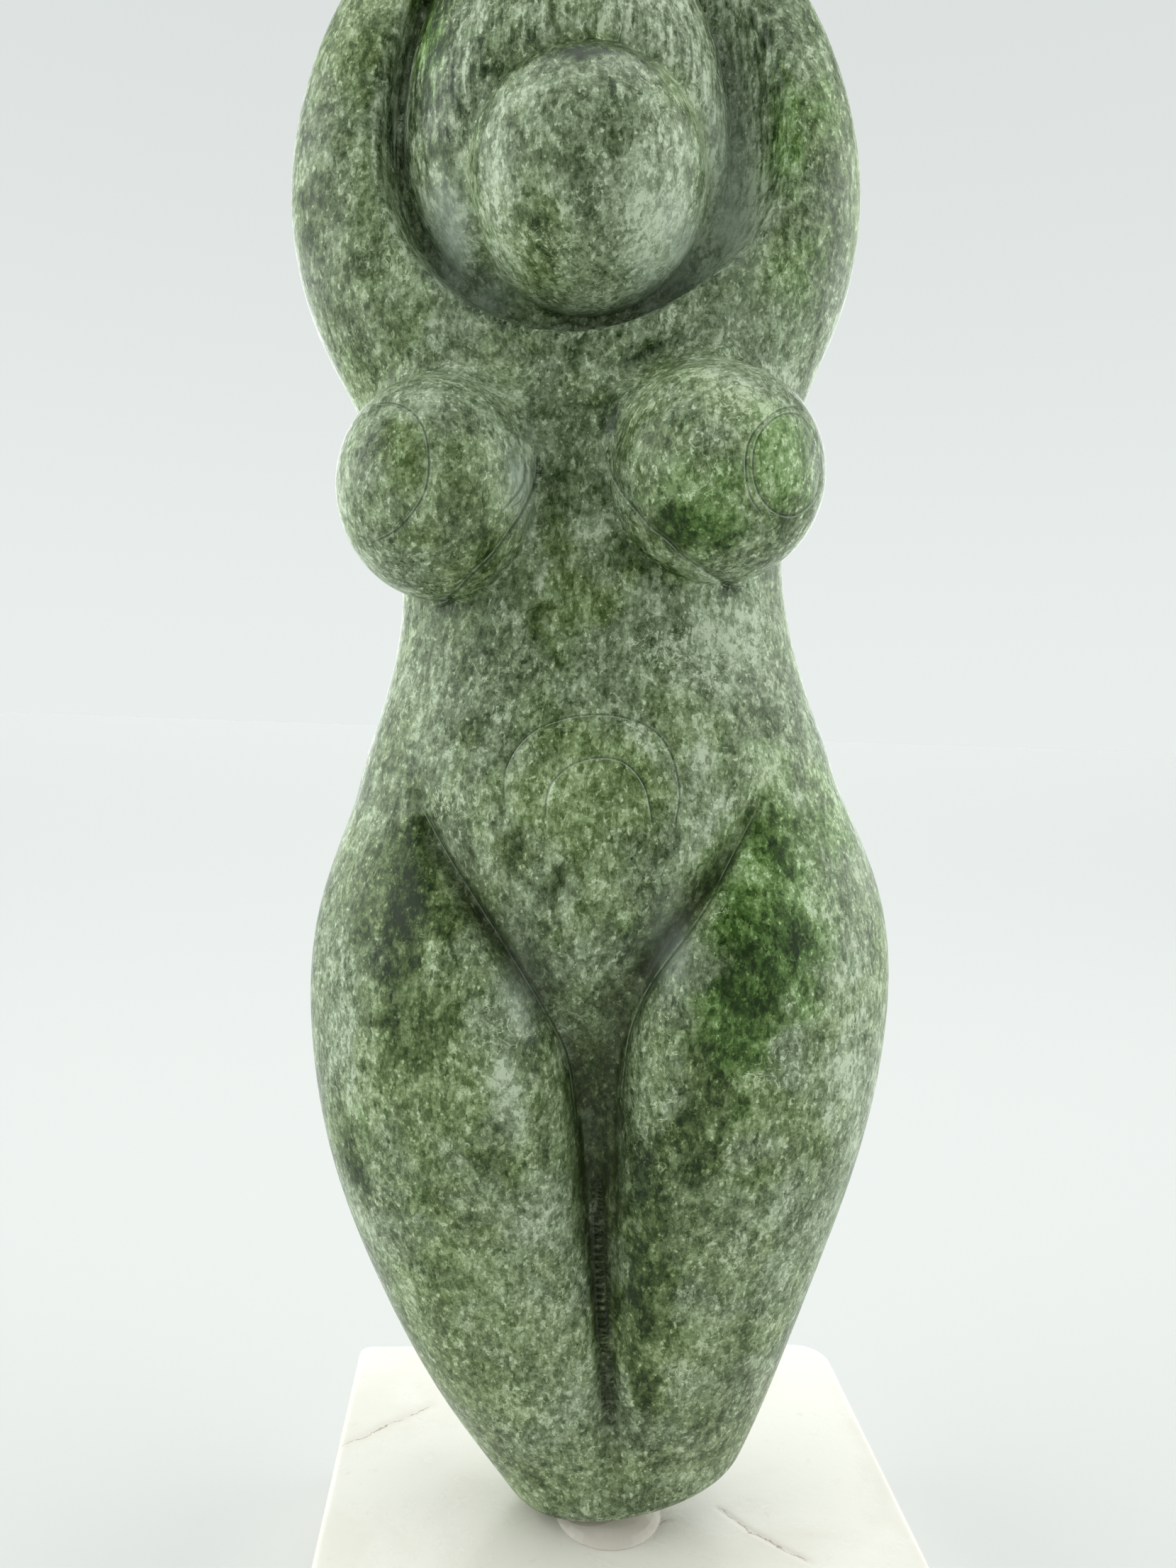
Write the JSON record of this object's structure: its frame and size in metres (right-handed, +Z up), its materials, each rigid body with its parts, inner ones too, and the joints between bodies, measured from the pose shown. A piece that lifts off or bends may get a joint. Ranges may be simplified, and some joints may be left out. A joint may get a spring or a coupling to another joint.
{
  "type": "stone goddess sculpture",
  "caption": "Carved green stone goddess with arms raised in an arch round a blank egg-shaped head, leaning on a clear bead on a square cream stone block.",
  "frame": {"origin": "middle of the block's flat underside", "axes": "+Z up, the figure looks towards -Y and leans towards -X, which is its own right side"},
  "size_m": [0.1102, 0.1, 0.3004],
  "materials": {
    "green_stone": "polished, mottled grey-green",
    "clear_gel": "clear and glossy",
    "cream_stone": "polished cream white with thin brown veins"
  },
  "bodies": {
    "root": {"goddess_figure": "green_stone", "clear_mounting_bead": "clear_gel", "stone_base_block": "cream_stone"}
  },
  "joints": []
}
